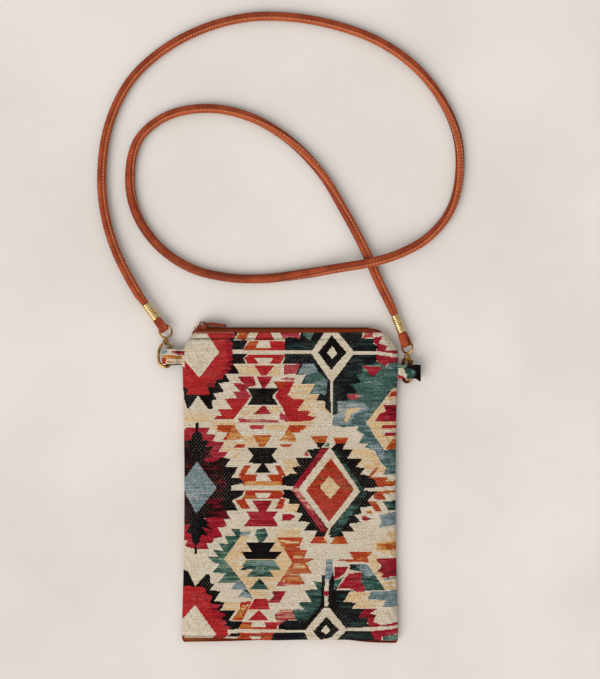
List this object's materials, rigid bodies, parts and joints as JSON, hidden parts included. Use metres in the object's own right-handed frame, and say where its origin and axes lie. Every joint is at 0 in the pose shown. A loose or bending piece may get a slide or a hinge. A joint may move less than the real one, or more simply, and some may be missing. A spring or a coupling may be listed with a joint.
{
  "type": "zip crossbody pouch",
  "caption": "Flat rectangular zip pouch of woven patterned cloth on a long round leather cord strap, clipped by swivel clasps to cloth side tabs.",
  "frame": {"origin": "middle of the back panel's flat face, where the pouch rests", "axes": "+X to the wearer's left as the front is seen (right in the view), +Y towards the zip, +Z out of the front panel"},
  "size_m": [0.2574, 0.4407, 0.0133],
  "materials": {
    "kilim_cloth": "woven tapestry cloth in red, black, cream, ochre and teal",
    "lining_cotton": "plain woven cotton",
    "zip_tape": "rust-brown woven tape",
    "zip_coil": "rust-brown nylon coil",
    "zip_enamel": "rust-brown enamel on cast metal",
    "gold_metal": "polished pale gold plating",
    "spring_steel": "bare spring wire",
    "strap_leather": "rust-tan rolled and stitched leather"
  },
  "bodies": {
    "pouch": {"front_panel": "kilim_cloth", "back_panel": "kilim_cloth", "tab_left": "kilim_cloth", "tab_right": "kilim_cloth", "lining_front": "lining_cotton", "lining_back": "lining_cotton", "zip_tape_front": "zip_tape", "zip_tape_back": "zip_tape", "zip_coil_front": "zip_coil", "zip_coil_back": "zip_coil", "zip_top_stop_front": "zip_enamel", "zip_top_stop_back": "zip_enamel", "zip_bottom_stop": "zip_enamel", "swivel_ring_left": "gold_metal", "swivel_ring_right": "gold_metal", "strap_loop_left": "strap_leather", "strap_loop_right": "strap_leather", "ferrule_left": "gold_metal", "ferrule_right": "gold_metal", "strap_cord": "strap_leather"},
    "slider": {"zip_slider": "zip_enamel"},
    "pull": {"zip_pull": "zip_enamel"},
    "left_hook": {"clasp_hook_left": "gold_metal", "gate_pin_left": "gold_metal", "gate_spring_left": "spring_steel"},
    "left_gate": {"clasp_gate_left": "gold_metal"},
    "right_hook": {"clasp_hook_right": "gold_metal", "gate_pin_right": "gold_metal", "gate_spring_right": "spring_steel"},
    "right_gate": {"clasp_gate_right": "gold_metal"}
  },
  "joints": [
    {"name": "zip_slide", "type": "slide", "parent": "pouch", "child": "slider", "axis": [1, 0, 0], "range_m": [0, 0.112]},
    {"name": "pull_flip", "type": "hinge", "parent": "slider", "child": "pull", "pos_m": [-0.0609, 0.11415, 0.005], "axis": [0, 0, 1], "range_deg": [0, 170]},
    {"name": "left_swivel", "type": "hinge", "parent": "pouch", "child": "left_hook", "pos_m": [-0.087, 0.1036, 0.005], "axis": [0, 1, 0], "range_deg": [-15, 15]},
    {"name": "left_gate_press", "type": "hinge", "parent": "left_hook", "child": "left_gate", "pos_m": [-0.0841, 0.098, 0.005], "axis": [0, 0, -1], "range_deg": [0, 25], "stiffness_Nm_per_rad": 0.008},
    {"name": "right_swivel", "type": "hinge", "parent": "pouch", "child": "right_hook", "pos_m": [0.082, 0.0928, 0.005], "axis": [0, 1, 0], "range_deg": [-12, 12]},
    {"name": "right_gate_press", "type": "hinge", "parent": "right_hook", "child": "right_gate", "pos_m": [0.08386, 0.0872, 0.00722], "axis": [0.766, 0, -0.6428], "range_deg": [0, 25], "stiffness_Nm_per_rad": 0.008}
  ]
}
